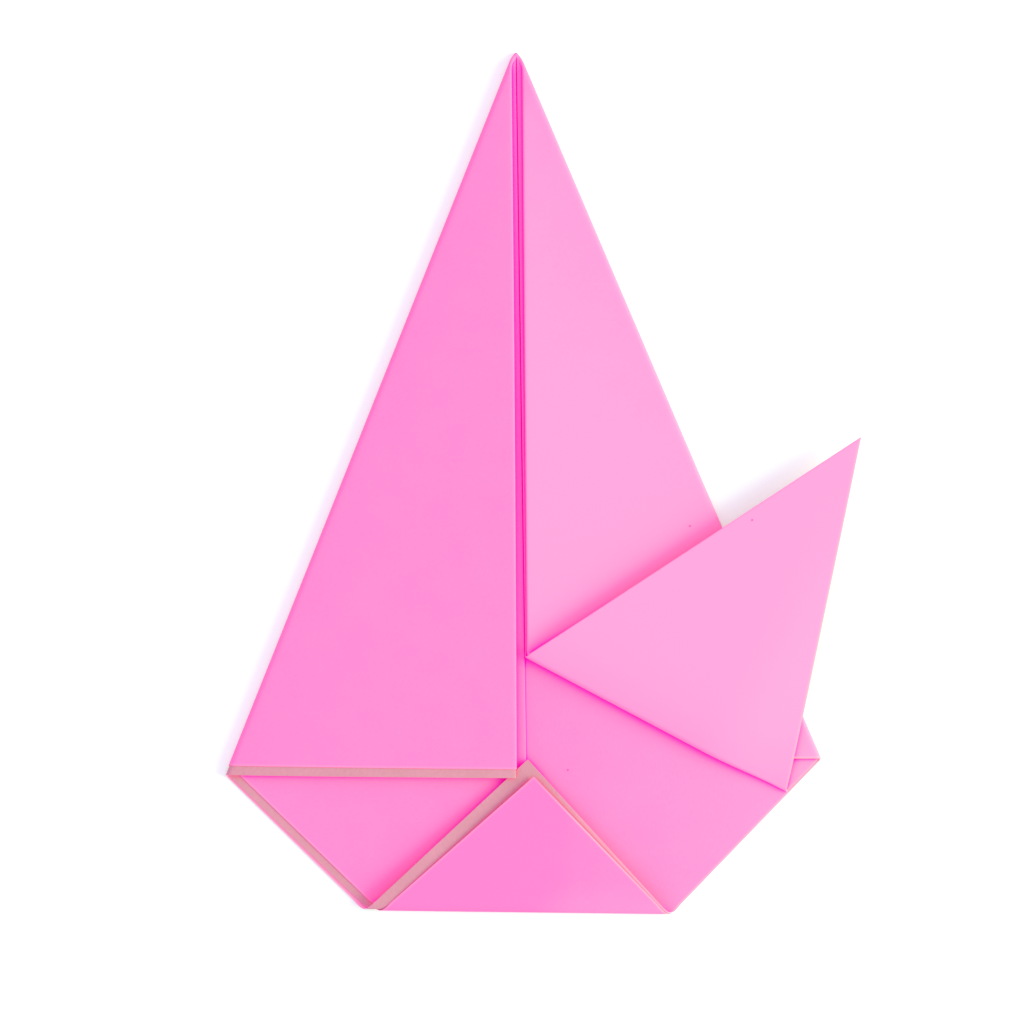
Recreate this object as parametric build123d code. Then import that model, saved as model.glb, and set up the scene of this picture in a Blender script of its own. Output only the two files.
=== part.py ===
from build123d import *
from math import cos, radians, sin, sqrt
import os

# An origami rabbit folded from one square of paper, lying on its back on a table.
# The sheet is coloured outside and white inside. It is folded into a triangle, its two
# sharp corners come down to the right-angled one, the long sides are folded to the centre
# line, the right flap's tip is turned out as an ear, and the bottom corner is turned up.
# Millimetres. X to the right, Y towards the long point, Z up out of the paper.
# While it is folded, the long point stays at the origin and the sheet hangs down -Y.

# The sheet
sheet_side = 150.0
paper = 0.07
layer_gap = 0.03
half_diagonal = sheet_side / sqrt(2)

# First fold, corner to corner. The sheet is cut a hair off square: how far each of its
# corners lies up from its place in a true square on the crease, and two of them to the right
far_corner_slip = 0.90
far_corner_shift = -0.25
near_corner_slip = -0.05
near_corner_shift = 0.60
left_tip_slip = 0.53
right_tip_slip = 0.0

# The two sharp corners, brought down beside the centre line. The left one's edge goes a
# little past it, and the right one's stops short against that
left_tip_gap = -0.33
right_tip_gap = 0.42

# The long sides, folded to the centre line and standing up a little from it
kite_angle = 22.5
left_kite_gap = 0.60
right_kite_gap = 0.75
left_kite_lift = 4.0
right_kite_lift = 0.3

# The ear, turned out of the right flap along a line that leaves the centre line at this
# share of the sheet's half diagonal, measured from the long point
ear_share = 0.603
ear_slope = 29.0
ear_lift = 5.0

# The bottom corner, turned up along a line this share of the half diagonal above it, which
# runs down to the right by this many degrees
base_share = 0.155
base_slope = 1.16
base_lift = 3.5

# How many layers lie under each crease
corner_layers = 2
side_layers = 4

pitch = paper + layer_gap


def crease_height(layers):
    """Height of a crease's axis, half a gap above the top one of so many flat layers."""
    return layers * pitch - layer_gap / 2


def heading(degrees):
    """Level direction, measured anticlockwise from +X."""
    return Vector(cos(radians(degrees)), sin(radians(degrees)), 0)


def solids_of(shape):
    """Every solid in a shape, a list of shapes or nothing."""
    if shape is None:
        return []
    if isinstance(shape, (list, tuple)):
        return [solid for item in shape for solid in item.solids()]
    return list(shape.solids())


def joined(solids):
    """The given solids made one, with faces in one plane merged."""
    body = solids[0].fuse(*solids[1:]).clean()
    return solids_of(body)[0]


def folded(sheet, start, direction, height, turn, is_loose=None):
    """Turn over what lies left of a crease, on a bend about an axis at the given height.

    The layers cut by the crease's upright plane are swept about the axis, which gives each
    of them its own round bend, one inside the other. What is loose picks the flaps to turn.
    """
    across = Vector(-direction.Y, direction.X, 0)
    upright = Plane(origin=start, x_dir=direction, z_dir=across)
    crease = Axis((start.X, start.Y, height), direction)
    beyond, staying = sheet.split(upright, keep=Keep.BOTH)
    flaps = solids_of(beyond)
    kept = solids_of(staying)
    if is_loose is not None:
        kept += [flap for flap in flaps if not is_loose(flap)]
        flaps = [flap for flap in flaps if is_loose(flap)]
    bends = []
    for flap in flaps:
        for face in flap.faces():
            facing = face.normal_at()
            offset = (face.center() - start).dot(across)
            if abs(offset) < 1e-5 and abs(facing.dot(across)) > 0.9999:
                bends.append(Solid.revolve(face, turn, crease))
    turned = [flap.rotate(crease, turn) for flap in flaps]
    return joined(kept + bends + turned)


def flat_sheet():
    """The sheet on its point, a hair off square, with the first crease along X."""
    corners = [
        (far_corner_shift, far_corner_slip + half_diagonal),
        (-half_diagonal, left_tip_slip),
        (near_corner_shift, near_corner_slip - half_diagonal),
        (half_diagonal, right_tip_slip),
    ]
    return extrude(make_face(Polyline(*corners, close=True)), paper).solid()


def triangle(sheet):
    """The far corner comes down over the near one."""
    return folded(sheet, Vector(0, 0, 0), heading(0), crease_height(1), 180)


def corner_standoff(tip_gap):
    """How far a sharp corner's crease stands out, for the corner's edge to end at its gap."""
    return (crease_height(1) + tip_gap) / sqrt(2)


def corner_down(sheet, side, tip_gap):
    """A sharp corner, two layers thick, comes down beside the centre line. Side is -1 or 1."""
    start = Vector(side, 1, 0) / sqrt(2) * corner_standoff(tip_gap)
    return folded(sheet, start, heading(-45 * side), crease_height(corner_layers), 180)


def kite_start(side, tip_gap, kite_gap):
    """Point of a long side's crease nearest to the long point."""
    reach = kite_gap + corner_standoff(tip_gap) + crease_height(corner_layers)
    standoff = reach / (2 * cos(radians(kite_angle)))
    return heading(90 - side * (90 - kite_angle)) * standoff


def side_in(sheet, side, tip_gap, kite_gap, lift):
    """A long side, four layers thick, comes over to the centre line."""
    start = kite_start(side, tip_gap, kite_gap)
    direction = heading(-side * (90 - kite_angle))
    return folded(sheet, start, direction, crease_height(side_layers), 180 - lift)


def ear_out(sheet):
    """The right flap's tip, with the corner of the side on top of it, is turned out.

    The axis lies just above that corner where it stands highest, at the centre line.
    """
    across = heading(kite_angle)
    fold_point = Vector(0, -ear_share * half_diagonal, 0)
    from_side = (kite_start(1, right_tip_gap, right_kite_gap) - fold_point).dot(across)
    rise = from_side * sin(radians(right_kite_lift))
    height = crease_height(2 * side_layers) + layer_gap / 2 + rise
    bend = height - corner_layers * pitch
    start = fold_point + heading(90 - ear_slope) * bend

    def is_loose(flap):
        low = flap.bounding_box().min
        return low.X > -left_kite_gap / 2 and low.Z > (corner_layers - 0.5) * pitch

    return folded(sheet, start, heading(180 - ear_slope), height, 180 - ear_lift, is_loose)


def base_up(sheet):
    """The bottom corner, with the left flap's tip inside, is turned up."""
    height = crease_height(side_layers)
    crease_line = -(1 - base_share) * half_diagonal - far_corner_slip
    start = Vector(0, crease_line + height, 0)
    return folded(sheet, start, heading(180 - base_slope), height, 180 - base_lift)


rabbit = triangle(flat_sheet())
rabbit = corner_down(rabbit, -1, left_tip_gap)
rabbit = corner_down(rabbit, 1, right_tip_gap)
rabbit = side_in(rabbit, 1, right_tip_gap, right_kite_gap, right_kite_lift)
rabbit = ear_out(rabbit)
rabbit = base_up(rabbit)
rabbit = side_in(rabbit, -1, left_tip_gap, left_kite_gap, left_kite_lift)

# Set down with its origin on the table, under the middle of its outline
reach = rabbit.bounding_box()
middle = reach.center()
rabbit = rabbit.moved(Pos(-middle.X, -middle.Y, -reach.min.Z))

os.makedirs("parts", exist_ok=True)
export_step(rabbit, "parts/folded_sheet.step")
print("solids", len(rabbit.solids()), "faces", len(rabbit.faces()), "volume", round(rabbit.volume, 2))
print("size", rabbit.bounding_box().size)
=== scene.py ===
import bmesh
import bpy
import numpy as np
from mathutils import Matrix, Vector


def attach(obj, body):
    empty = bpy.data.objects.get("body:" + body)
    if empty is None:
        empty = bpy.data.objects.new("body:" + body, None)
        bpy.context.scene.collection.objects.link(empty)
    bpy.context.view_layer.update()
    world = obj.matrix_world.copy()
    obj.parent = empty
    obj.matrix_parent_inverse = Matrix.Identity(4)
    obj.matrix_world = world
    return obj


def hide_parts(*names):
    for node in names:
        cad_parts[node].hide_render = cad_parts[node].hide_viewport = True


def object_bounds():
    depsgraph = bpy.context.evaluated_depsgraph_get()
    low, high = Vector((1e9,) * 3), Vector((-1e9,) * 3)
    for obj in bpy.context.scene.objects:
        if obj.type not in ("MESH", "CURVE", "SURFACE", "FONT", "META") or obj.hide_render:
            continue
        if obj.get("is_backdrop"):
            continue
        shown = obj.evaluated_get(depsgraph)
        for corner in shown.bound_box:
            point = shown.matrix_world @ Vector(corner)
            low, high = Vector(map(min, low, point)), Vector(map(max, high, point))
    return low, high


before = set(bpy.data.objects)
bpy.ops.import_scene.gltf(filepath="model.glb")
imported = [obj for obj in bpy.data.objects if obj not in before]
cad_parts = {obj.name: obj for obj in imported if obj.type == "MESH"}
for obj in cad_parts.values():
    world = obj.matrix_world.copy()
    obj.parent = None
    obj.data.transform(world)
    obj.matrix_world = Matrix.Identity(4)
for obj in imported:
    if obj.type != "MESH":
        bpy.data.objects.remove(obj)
solid_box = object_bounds()

# The flat sheet. One square of thin origami paper, coloured on the outside only, cut a
# hair off square. It lies coloured side down, on its point, with the line of its first
# crease along X and the rabbit's long point at the origin. Lengths are in millimetres.
sheet_side = 150.0
paper = 0.07
layer = 0.10
half_diagonal = sheet_side / np.sqrt(2)
near_corner = np.array([0.30, -0.05 - half_diagonal])
far_corner = np.array([-0.40, 0.90 + half_diagonal])
left_tip = np.array([-half_diagonal, 0.53])
right_tip = np.array([half_diagonal, 0.0])
cells = 76


def points_of(mesh, name="position"):
    """A vector attribute of the mesh's points, as rows of three numbers."""
    values = np.zeros(len(mesh.vertices) * 3, np.float32)
    mesh.attributes[name].data.foreach_get("vector", values)
    return values.reshape(-1, 3).astype(float)


def set_points(mesh, rows, name="position"):
    """Writes rows of three numbers to a vector attribute of the mesh's points."""
    if name not in mesh.attributes:
        mesh.attributes.new(name, "FLOAT_VECTOR", "POINT")
    mesh.attributes[name].data.foreach_set("vector", rows.astype(np.float32).ravel())


def flat_square(cells):
    """Grid over the square: a point is the mean of its four corners, weighted by how far it
    lies along each pair of sides. The faces look up, from the paper's white side. Each
    point keeps its place on the flat sheet, and its two shares of the way across it."""
    a, b = np.meshgrid(np.linspace(0, 1, cells + 1), np.linspace(0, 1, cells + 1))
    a, b = a.reshape(-1, 1), b.reshape(-1, 1)
    place = (1 - a) * (1 - b) * near_corner + a * (1 - b) * right_tip
    place = place + (1 - a) * b * left_tip + a * b * far_corner
    points = np.column_stack([place, np.full(len(place), paper / 2)])
    corner = (np.arange(cells)[:, None] * (cells + 1) + np.arange(cells)).ravel()
    around = np.array([0, 1, cells + 2, cells + 1])
    mesh = bpy.data.meshes.new("paper")
    mesh.from_pydata(points.tolist(), [], (corner[:, None] + around).tolist())
    set_points(mesh, points, "flat")
    set_points(mesh, np.column_stack([a, b, np.zeros(len(a))]), "share")
    return mesh


sheet = flat_square(cells)


# The folds. Each crease turns all the layers that lie beyond it over, in one roll, and
# pressed paper springs back, so a flap rises from its crease. A roll's radius is about
# half the thickness of what is inside it.
def whole_numbers(items, name):
    """One whole number of each item, such as a face's count of corners."""
    values = np.zeros(len(items), np.int32)
    items.foreach_get(name, values)
    return values


def mark_loose(mesh, loose):
    """Marks the faces that a crease may turn. Loose picks them by the mean of their corners'
    flat places and by the mean of their places now, and None picks them all."""
    starts = whole_numbers(mesh.polygons, "loop_start")
    totals = whole_numbers(mesh.polygons, "loop_total")[:, None]
    corners = whole_numbers(mesh.loops, "vertex_index")
    chosen = np.ones(len(starts), bool)
    if loose is not None:
        flat = np.add.reduceat(points_of(mesh, "flat")[corners], starts) / totals
        place = np.add.reduceat(points_of(mesh)[corners], starts) / totals
        chosen = loose(flat, place)
    mark = mesh.attributes.new("loose", "INT", "FACE")
    mark.data.foreach_set("value", chosen.astype(np.int32))


def cut_marked(mesh, start, across, distances):
    """Cuts the marked faces by upright planes at those distances beyond the start."""
    cut = bmesh.new()
    cut.from_mesh(mesh)
    mark = cut.faces.layers.int["loose"]
    for distance in distances:
        faces = [face for face in cut.faces if face[mark]]
        edges = {edge for face in faces for edge in face.edges}
        corners = {corner for face in faces for corner in face.verts}
        bmesh.ops.bisect_plane(
            cut, geom=[*faces, *edges, *corners], dist=1e-5,
            plane_co=start + across * distance, plane_no=across,
        )
    cut.to_mesh(mesh)
    cut.free()


def marked_points(mesh):
    """Which points belong to a marked face."""
    marks = whole_numbers(mesh.attributes["loose"].data, "value")
    totals = whole_numbers(mesh.polygons, "loop_total")
    corners = whole_numbers(mesh.loops, "vertex_index")
    marked = np.zeros(len(mesh.vertices), bool)
    marked[corners[np.repeat(marks > 0, totals)]] = True
    return marked


# A roll has eight steps, and one more cut close to it on each side keeps the paper there flat
roll_steps = 8
beside_roll = 0.3


def crease(mesh, through, slope, height, roll, rise, loose=None, slip=0.0, arch=0.0):
    """Folds what lies left of a line over it, towards +Z.

    The line passes through a point at a slope in degrees, and a flat fold would mirror the
    paper in it. A point at distance s beyond the roll's start goes round the axis at the
    given height by the angle s / roll, and past half a turn it runs straight back. The
    height is a number or a function of the place along the crease. The rise is added to
    the flap's height, as a function of the place along the crease and of the distance from
    the roll. Loose picks the faces to turn. Slip skews the flap along its crease, by that
    much for each square millimetre of place and distance, and arch is the share of its
    length that the flap loses in plan because it bulges.
    """
    along = np.array([np.cos(np.radians(slope)), np.sin(np.radians(slope)), 0.0])
    across = np.array([-along[1], along[0], 0.0])
    start = np.array([*through, 0.0]) - across * roll * np.pi / 2
    half_turn = np.pi * roll
    round_roll = np.linspace(0, half_turn, roll_steps + 1)
    mark_loose(mesh, loose)
    cut_marked(mesh, start, across, [-beside_roll, *round_roll, half_turn + beside_roll])
    place = points_of(mesh)
    beyond = (place - start) @ across
    moved = marked_points(mesh) & (beyond > 0)
    t = (place - start) @ along
    axis = height(t) if callable(height) else np.full(len(t), height)
    radius = axis - place[:, 2]
    angle = np.minimum(beyond / roll, np.pi)
    straight = np.maximum(beyond - half_turn, 0)
    out = radius * np.sin(angle) - straight * (1 - arch)
    slid = t * (1 + slip * straight)
    turned = start * [1, 1, 0] + slid[:, None] * along + out[:, None] * across
    turned[:, 2] = axis - radius * np.cos(angle) + rise(t, straight)
    place[moved] = turned[moved]
    set_points(mesh, place)
    mesh.attributes.remove(mesh.attributes["loose"])
    mesh.update()


def ease(value, start, end):
    """Goes smoothly from 0 at start to 1 at end: share squared times 3 less twice share."""
    share = np.clip((value - start) / (end - start), 0, 1)
    return share * share * (3 - 2 * share)


def stays_down(t, away):
    """A flap pressed flat rises by nothing."""
    return 0.0 * away


# First the far corner comes down over the near one, and then the two sharp corners, each
# two layers thick, come down beside the centre line. The left one's folded edge goes a
# little past it, and the right one's stops short against it.
half_gap = (layer - paper) / 2
left_edge = 0.33
right_edge = 0.42
corner_axis = 0.22
corner_roll = 0.12
crease(sheet, (0, 0), 0, height=layer - half_gap, roll=0.05, rise=stays_down)
crease(sheet, (left_edge / 2, -left_edge / 2), 45, corner_axis, corner_roll, stays_down)
crease(sheet, (right_edge / 2, right_edge / 2), -45, corner_axis, corner_roll, stays_down)

# The right long side comes over to the centre line, four layers at once. Its crease
# stands off the long point, by what the layers inside it take up.
outward = np.array([np.cos(np.radians(22.5)), np.sin(np.radians(22.5))])
right_standoff = 0.72


def right_side_rise(t, away):
    """Stands up by a hundredth of its width. From 34 to 62 mm along its crease that goes
    down to nothing, because the ear holds it there."""
    return 0.010 * away * (1 - ease(t, 34, 62))


crease(sheet, outward * right_standoff, -67.7, height=0.44, roll=0.33, rise=right_side_rise)


# The ear. The right-hand tip and the corner of the side on top of it are turned out
# together. The roll is thick where it holds six layers and thin where it holds two.
def ear_axis(t):
    """Height of the roll's axis: 0.94 mm from the centre line to 22 mm out, and 0.55 mm
    from 31 mm out to the edge of the paper."""
    return 0.55 + 0.39 * ease(t, -31, -22)


def ear_rise(t, away):
    """Springs up by 0.8 mm, most of it in the first few millimetres, and from there by
    four thousandths of its length."""
    return 0.8 * (1 - np.exp(-away / 2.2)) + 0.004 * away


def in_right_tip(flat, place):
    """The right half of the sheet where it lies above the two lower layers."""
    return (flat[:, 0] > 0) & (place[:, 2] > 1.6 * layer)


crease(sheet, (0, -63.42), 180 - 28.8, ear_axis, roll=0.35, rise=ear_rise, loose=in_right_tip)


# The bottom corner is turned up over the front, a little askew. Its outer layer goes
# round the inner ones on a wider roll, with its crease a little lower, and bulges.
def inner_base_rise(t, away):
    """Comes down from the base by 55 thousandths of its length, because the left side
    holds its corner down."""
    return -0.055 * away


def outer_base_rise(t, away):
    """Comes down from the base by 25 thousandths of its length, and so stands a little off
    the inner layers at its corner."""
    return -0.025 * away


def in_outer_layer(flat, place):
    """The lowest layer."""
    return place[:, 2] < 0.5 * layer


def in_inner_layers(flat, place):
    """All layers but the lowest."""
    return place[:, 2] > 0.5 * layer


base_axis = 0.935
crease(
    sheet, (16, -91.18), 180 - 1.60, base_axis, roll=0.70,
    rise=inner_base_rise, loose=in_inner_layers,
)
crease(
    sheet, (16, -91.25), 180 - 1.56, base_axis, roll=0.735,
    rise=outer_base_rise, loose=in_outer_layer, arch=0.05,
)


# The left long side comes over last, and its lower corner lies on the turned-up one. It
# has crept a little along its crease, more the farther down it lies.
def left_side_rise(t, away):
    """Rounds over by 0.2 mm in the first few millimetres from its crease, and stands up by
    nine thousandths of its width."""
    return 0.2 * (1 - np.exp(-away / 3)) + 0.009 * away


crease(sheet, (0.05, 0.0), 67.4, height=0.56, roll=0.37, rise=left_side_rise, slip=0.0004)


# The finished paper. The folded surface gets its thickness, coloured outside and white
# inside, and its cut edges show the white core. It takes its place over the solid sheet.
class Tone:
    """A value in a material. Sums and products of tones and numbers are Math nodes."""

    def __init__(self, tree, socket=None):
        self.tree = tree
        self.socket = socket

    def node(self, kind, inputs, output=0, **settings):
        """A node of that kind, with its inputs by name and its settings, as a new tone."""
        made = self.tree.nodes.new("ShaderNode" + kind)
        for name, value in settings.items():
            setattr(made, name, value)
        for name, value in inputs.items():
            if isinstance(value, Tone):
                self.tree.links.new(value.socket, made.inputs[name])
            else:
                made.inputs[name].default_value = value
        return Tone(self.tree, made.outputs[output])

    def maths(self, operation, first, second):
        """A Math node on two values."""
        return self.node("Math", {0: first, 1: second}, operation=operation)

    def less(self, first, second):
        """The first value less the second one, kept between 0 and 1."""
        return self.node("Math", {0: first, 1: second}, operation="SUBTRACT", use_clamp=True)

    def blend(self, share, first, second):
        """The first colour, with that share of the second one."""
        return self.node("Mix", {0: share, 6: first, 7: second}, 2, data_type="RGBA")

    def __add__(self, other):
        return self.maths("ADD", self, other)

    def __radd__(self, other):
        return self.maths("ADD", other, self)

    def __sub__(self, other):
        return self.maths("SUBTRACT", self, other)

    def __rsub__(self, other):
        return self.maths("SUBTRACT", other, self)

    def __mul__(self, other):
        return self.maths("MULTIPLY", self, other)

    def __rmul__(self, other):
        return self.maths("MULTIPLY", other, self)


# A painted glow: faint red emission standing in for light that comes through the paper
painted_glow_colour = (1.0, 0.0, 0.5, 1)
bare_white = (0.92, 0.50, 0.56, 1)
speck_pink = (0.70, 0.02, 0.35, 1)


def paper_grain(start, place):
    """Fibres a fifth of a millimetre wide, longer one way than the other, added to clouds a
    few millimetres across."""
    stretched = start.node("Mapping", {"Vector": place, "Scale": (1, 0.45, 1)})
    fibre = start.node("TexNoise", {"Vector": stretched, "Scale": 900, "Detail": 3})
    cloud = start.node("TexNoise", {"Vector": place, "Scale": 56, "Detail": 2})
    return 0.6 * fibre + 0.4 * cloud


def bare_rim(start, in_right, in_near):
    """Where the colour stops short of the cut: all bare up to 0.1 mm from the nearest side
    of the sheet, and coloured from 0.27 mm on. In the far left quarter both are more than
    twice as far, and in the near left one the rim shows by three tenths."""
    sides = start.node("UVMap", {}, output="UV", uv_map="from_side_to_side")
    a = start.node("SeparateXYZ", {"Vector": sides}, output="X")
    b = start.node("SeparateXYZ", {"Vector": sides}, output="Y")
    inset = start.maths("MINIMUM", a, 1 - a)
    inset = start.maths("MINIMUM", inset, b)
    inset = start.maths("MINIMUM", inset, 1 - b)
    in_left = 1 - in_right
    steepness = 900 - 500 * ((1 - in_near) * in_left)
    return start.less(1.6, steepness * inset) * (1 - 0.7 * (in_near * in_left))


def with_specks(start, shade, specks):
    """A round speck at each place, with a soft edge: it fades out a sixth of a millimetre
    from its middle."""
    here = start.node("TexCoord", {}, output="Object")
    for x, y in specks:
        offset = start.node("VectorMath", {0: here, 1: (x, y, 0)}, operation="SUBTRACT")
        level = start.node("VectorMath", {0: offset, 1: (1, 1, 0)}, operation="MULTIPLY")
        away = start.node("VectorMath", {0: level}, "Value", operation="LENGTH")
        shade = start.blend(start.less(1, 6000 * away), shade, speck_pink)
    return shade


def paper_finish(name, colour, pale_colour, crease_shade_colour, painted_light_weight, through=0.0, printed=False):
    """Uncoated paper. Its grain changes the colour a little between the two given, and
    stands up by some microns. Painted light makes the sheet paler towards its right tip
    and in its near right quarter, and painted shade holds it at the darker of the two
    colours at its near corner. Painted shade in creases, gaps and under raised edges,
    found by ambient occlusion, stands in for light that bounces about between the layers
    and takes on the crease shade colour, and a painted glow, a faint constant red
    emission, stands in for red light coming through from below. The printed side has a
    bare rim and the specks."""
    material = bpy.data.materials.new(name)
    material.use_nodes = True
    tree = material.node_tree
    surface = tree.nodes["Principled BSDF"]
    start = Tone(tree)
    place = start.node("UVMap", {}, output="UV", uv_map="flat_sheet")
    right = start.node("SeparateXYZ", {"Vector": place}, output="X")
    far = start.node("SeparateXYZ", {"Vector": place}, output="Y")
    in_right = start.less(40 * right, 20)
    in_near = start.less(20, 40 * far)
    # Painted light, growing across the right half of the sheet
    painted_light_ramp = start.less(right, 0.5)
    # Painted shade near the near corner, over the turned-up corner
    painted_shade_near_corner = start.less(2.7, 30 * far)
    grain = paper_grain(start, place)
    # The share of the paler colour: grain, painted light towards the right tip and in the
    # near right quarter, less painted shade at the near corner
    grain_and_painted_light = 0.5 * grain + painted_light_weight * painted_light_ramp + 0.4 * (in_right * in_near) - 0.55 * painted_shade_near_corner
    # Painted shade: ambient occlusion finds paper close by, in creases, gaps and under raised
    # edges, and the colour goes that far towards the crease shade colour
    opened = start.node(
        "AmbientOcclusion", {"Distance": 0.0013}, output="AO", samples=12, only_local=True
    )
    closed = 1 - opened
    painted_crease_shade = closed * (0.7 + 3.9 * closed) - 0.16
    shade = start.blend(painted_crease_shade, start.blend(grain_and_painted_light, colour, pale_colour), crease_shade_colour)
    if printed:
        shade = with_specks(start, shade, specks)
        shade = start.blend(bare_rim(start, in_right, in_near), shade, bare_white)
    raised = start.node("Bump", {"Height": grain, "Strength": 0.35, "Distance": 0.00002})
    tree.links.new(shade.socket, surface.inputs["Base Color"])
    tree.links.new(raised.socket, surface.inputs["Normal"])
    surface.inputs["Roughness"].default_value = 0.85
    surface.inputs["Specular IOR Level"].default_value = 0.25
    # The painted glow: a constant faint red emission
    surface.inputs["Emission Color"].default_value = painted_glow_colour
    surface.inputs["Emission Strength"].default_value = through
    return material


# The drawing of the flat sheet on its point is a little wider than the sheet's diagonal
flat_span = 214.0


def finished_paper(mesh, thick, shift):
    """The surface moved half the thickness to each side along its normals, with a strip
    round its cut edges. Material 0 is the coloured side, 1 the white side, 2 the cut."""
    place = points_of(mesh)
    normal = np.zeros(len(place) * 3, np.float32)
    mesh.vertex_normals.foreach_get("vector", normal)
    normal = normal.reshape(-1, 3).astype(float)
    count = whole_numbers(mesh.polygons, "loop_total")
    corner = whole_numbers(mesh.loops, "vertex_index")
    start = np.cumsum(count) - count
    of_face = np.repeat(np.arange(len(count)), count)
    step = np.arange(len(corner)) - start[of_face]
    following = corner[start[of_face] + (step + 1) % count[of_face]]
    backwards = corner[start[of_face] + count[of_face] - 1 - step]
    pair = np.sort(np.column_stack([corner, following]), axis=1)
    key = pair[:, 0] * len(place) + pair[:, 1]
    keys, times = np.unique(key, return_counts=True)
    open_edge = np.isin(key, keys[times == 1])
    one, two = corner[open_edge], following[open_edge]
    under = len(place)
    strip = np.column_stack([two, one, one + under, two + under]).ravel()
    corners = np.concatenate([corner, backwards + under, strip])
    counts = np.concatenate([count, count, np.full(len(one), 4)])
    points = np.concatenate([place + normal * thick / 2, place - normal * thick / 2]) + shift
    made = bpy.data.meshes.new("folded_paper")
    made.vertices.add(len(points))
    made.vertices.foreach_set("co", (points / 1000).astype(np.float32).ravel())
    made.loops.add(len(corners))
    made.loops.foreach_set("vertex_index", corners.astype(np.int32))
    made.polygons.add(len(counts))
    made.polygons.foreach_set("loop_start", (np.cumsum(counts) - counts).astype(np.int32))
    sides = np.repeat([1, 0, 2], [len(count), len(count), len(one)]).astype(np.int32)
    made.polygons.foreach_set("material_index", sides)
    made.polygons.foreach_set("use_smooth", np.ones(len(counts), bool))
    made.update(calc_edges=True)
    flats = np.tile(points_of(mesh, "flat") / flat_span + 0.5, (2, 1))
    shares = np.tile(points_of(mesh, "share"), (2, 1))
    for name, drawn in (("flat_sheet", flats), ("from_side_to_side", shares)):
        layout = made.uv_layers.new(name=name)
        layout.data.foreach_set("uv", drawn[corners, :2].astype(np.float32).ravel())
    ends = np.zeros(len(made.edges) * 2, np.int32)
    made.edges.foreach_get("vertices", ends)
    ends = np.sort(ends.reshape(-1, 2), axis=1)
    cut = np.sort(np.column_stack([one, two]), axis=1)
    cut = np.concatenate([cut, cut + under])
    sharp = np.isin(ends @ [len(points), 1], cut @ [len(points), 1])
    marks = made.attributes.new("sharp_edge", "BOOLEAN", "EDGE")
    marks.data.foreach_set("value", sharp)
    made.validate()
    return made


long_point = np.array([-2.40, 45.45, 0.0])
folded = finished_paper(sheet, paper, long_point)
rabbit = bpy.data.objects.new("folded_paper", folded)
bpy.context.scene.collection.objects.link(rabbit)
specks = [(0.00231, -0.03030), (0.01552, -0.00475), (0.02194, -0.00421)]
# The pink side's colour, and the paler one that grain and painted light mix towards
pink = (1.0, 0.25, 0.52, 1)
paler_pink = (1.0, 0.40, 0.59, 1)
# Painted shade in creases and gaps on the pink side
crease_shade_pink = (1.0, 0.0, 0.66, 1)
# The white side in painted shade, and in painted light that it goes towards on the right; the
# grain mixes between them too
white = (0.56, 0.31, 0.30, 1)
warm_white = (1.0, 0.50, 0.58, 1)
# Painted shade in creases and gaps on the white side
crease_shade_white = (1.0, 0.20, 0.36, 1)
# The cut edge's colours, mixed by grain and painted light; its painted crease shade goes
# towards the paler pink
cut_pink = (0.97, 0.55, 0.76, 1)
cut_white = (0.97, 0.66, 0.82, 1)
# The pink side has a painted glow of a tenth
for finish in (
    paper_finish("pink_side", pink, paler_pink, crease_shade_pink, 3.6, through=0.1, printed=True),
    paper_finish("white_side", white, warm_white, crease_shade_white, 12),
    paper_finish("cut_edge", cut_pink, cut_white, paler_pink, 3.6),
):
    folded.materials.append(finish)
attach(rabbit, "root")
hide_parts("folded_sheet")

# The table and the light. A wide white top, a large, slightly green lamp on the right and
# an even, faintly pink room. The table's own light reaches the camera alone and keeps its
# shadows grey. The camera looks straight down, turned by nearly a degree.
top = bpy.data.meshes.new("table_top")
top.from_pydata([(-1, -1, 0), (1, -1, 0), (1, 1, 0), (-1, 1, 0)], [], [(0, 1, 2, 3)])
table = bpy.data.objects.new("table_top", top)
bpy.context.scene.collection.objects.link(table)
table_white = bpy.data.materials.new("table_white")
table_white.use_nodes = True
tree = table_white.node_tree
surface = tree.nodes["Principled BSDF"]
seen = Tone(tree).node("LightPath", {}, output="Is Camera Ray")
surface.inputs["Base Color"].default_value = (0.86, 0.86, 0.86, 1)
surface.inputs["Roughness"].default_value = 0.9
surface.inputs["Emission Color"].default_value = (0.25, 1, 0.5, 1)
tree.links.new((0.35 * seen).socket, surface.inputs["Emission Strength"])
top.materials.append(table_white)
table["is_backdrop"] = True

lamp = bpy.data.lights.new("soft_lamp", "AREA")
lamp.shape = "DISK"
lamp.size = 0.6
lamp.energy = 9.2
lamp.color = (0.45, 1.0, 0.44)
lamp_from = np.array([0.95, -0.08, 0.46])
lamp_place = bpy.data.objects.new("soft_lamp", lamp)
lamp_place.location = lamp_from
lamp_place.rotation_euler = Vector(lamp_from).to_track_quat("Z", "Y").to_euler()
bpy.context.scene.collection.objects.link(lamp_place)

room = bpy.data.worlds.new("white_room")
room.use_nodes = True
room.node_tree.nodes["Background"].inputs["Color"].default_value = (1, 0.63, 1, 1)
room.node_tree.nodes["Background"].inputs["Strength"].default_value = 1.02
bpy.context.scene.world = room

camera = bpy.data.cameras.new("camera")
camera.lens = 100
camera_place = bpy.data.objects.new("camera", camera)
camera_place.location = (-0.00317, -0.00300, 0.3002)
camera_place.rotation_euler = (0, 0, np.radians(-0.85))
bpy.context.scene.collection.objects.link(camera_place)
bpy.context.scene.camera = camera_place
bpy.context.scene.view_settings.view_transform = "Standard"

boxes = {"cad": solid_box, "visual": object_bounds()}
boxes = {name: [list(low), list(high)] for name, (low, high) in boxes.items()}
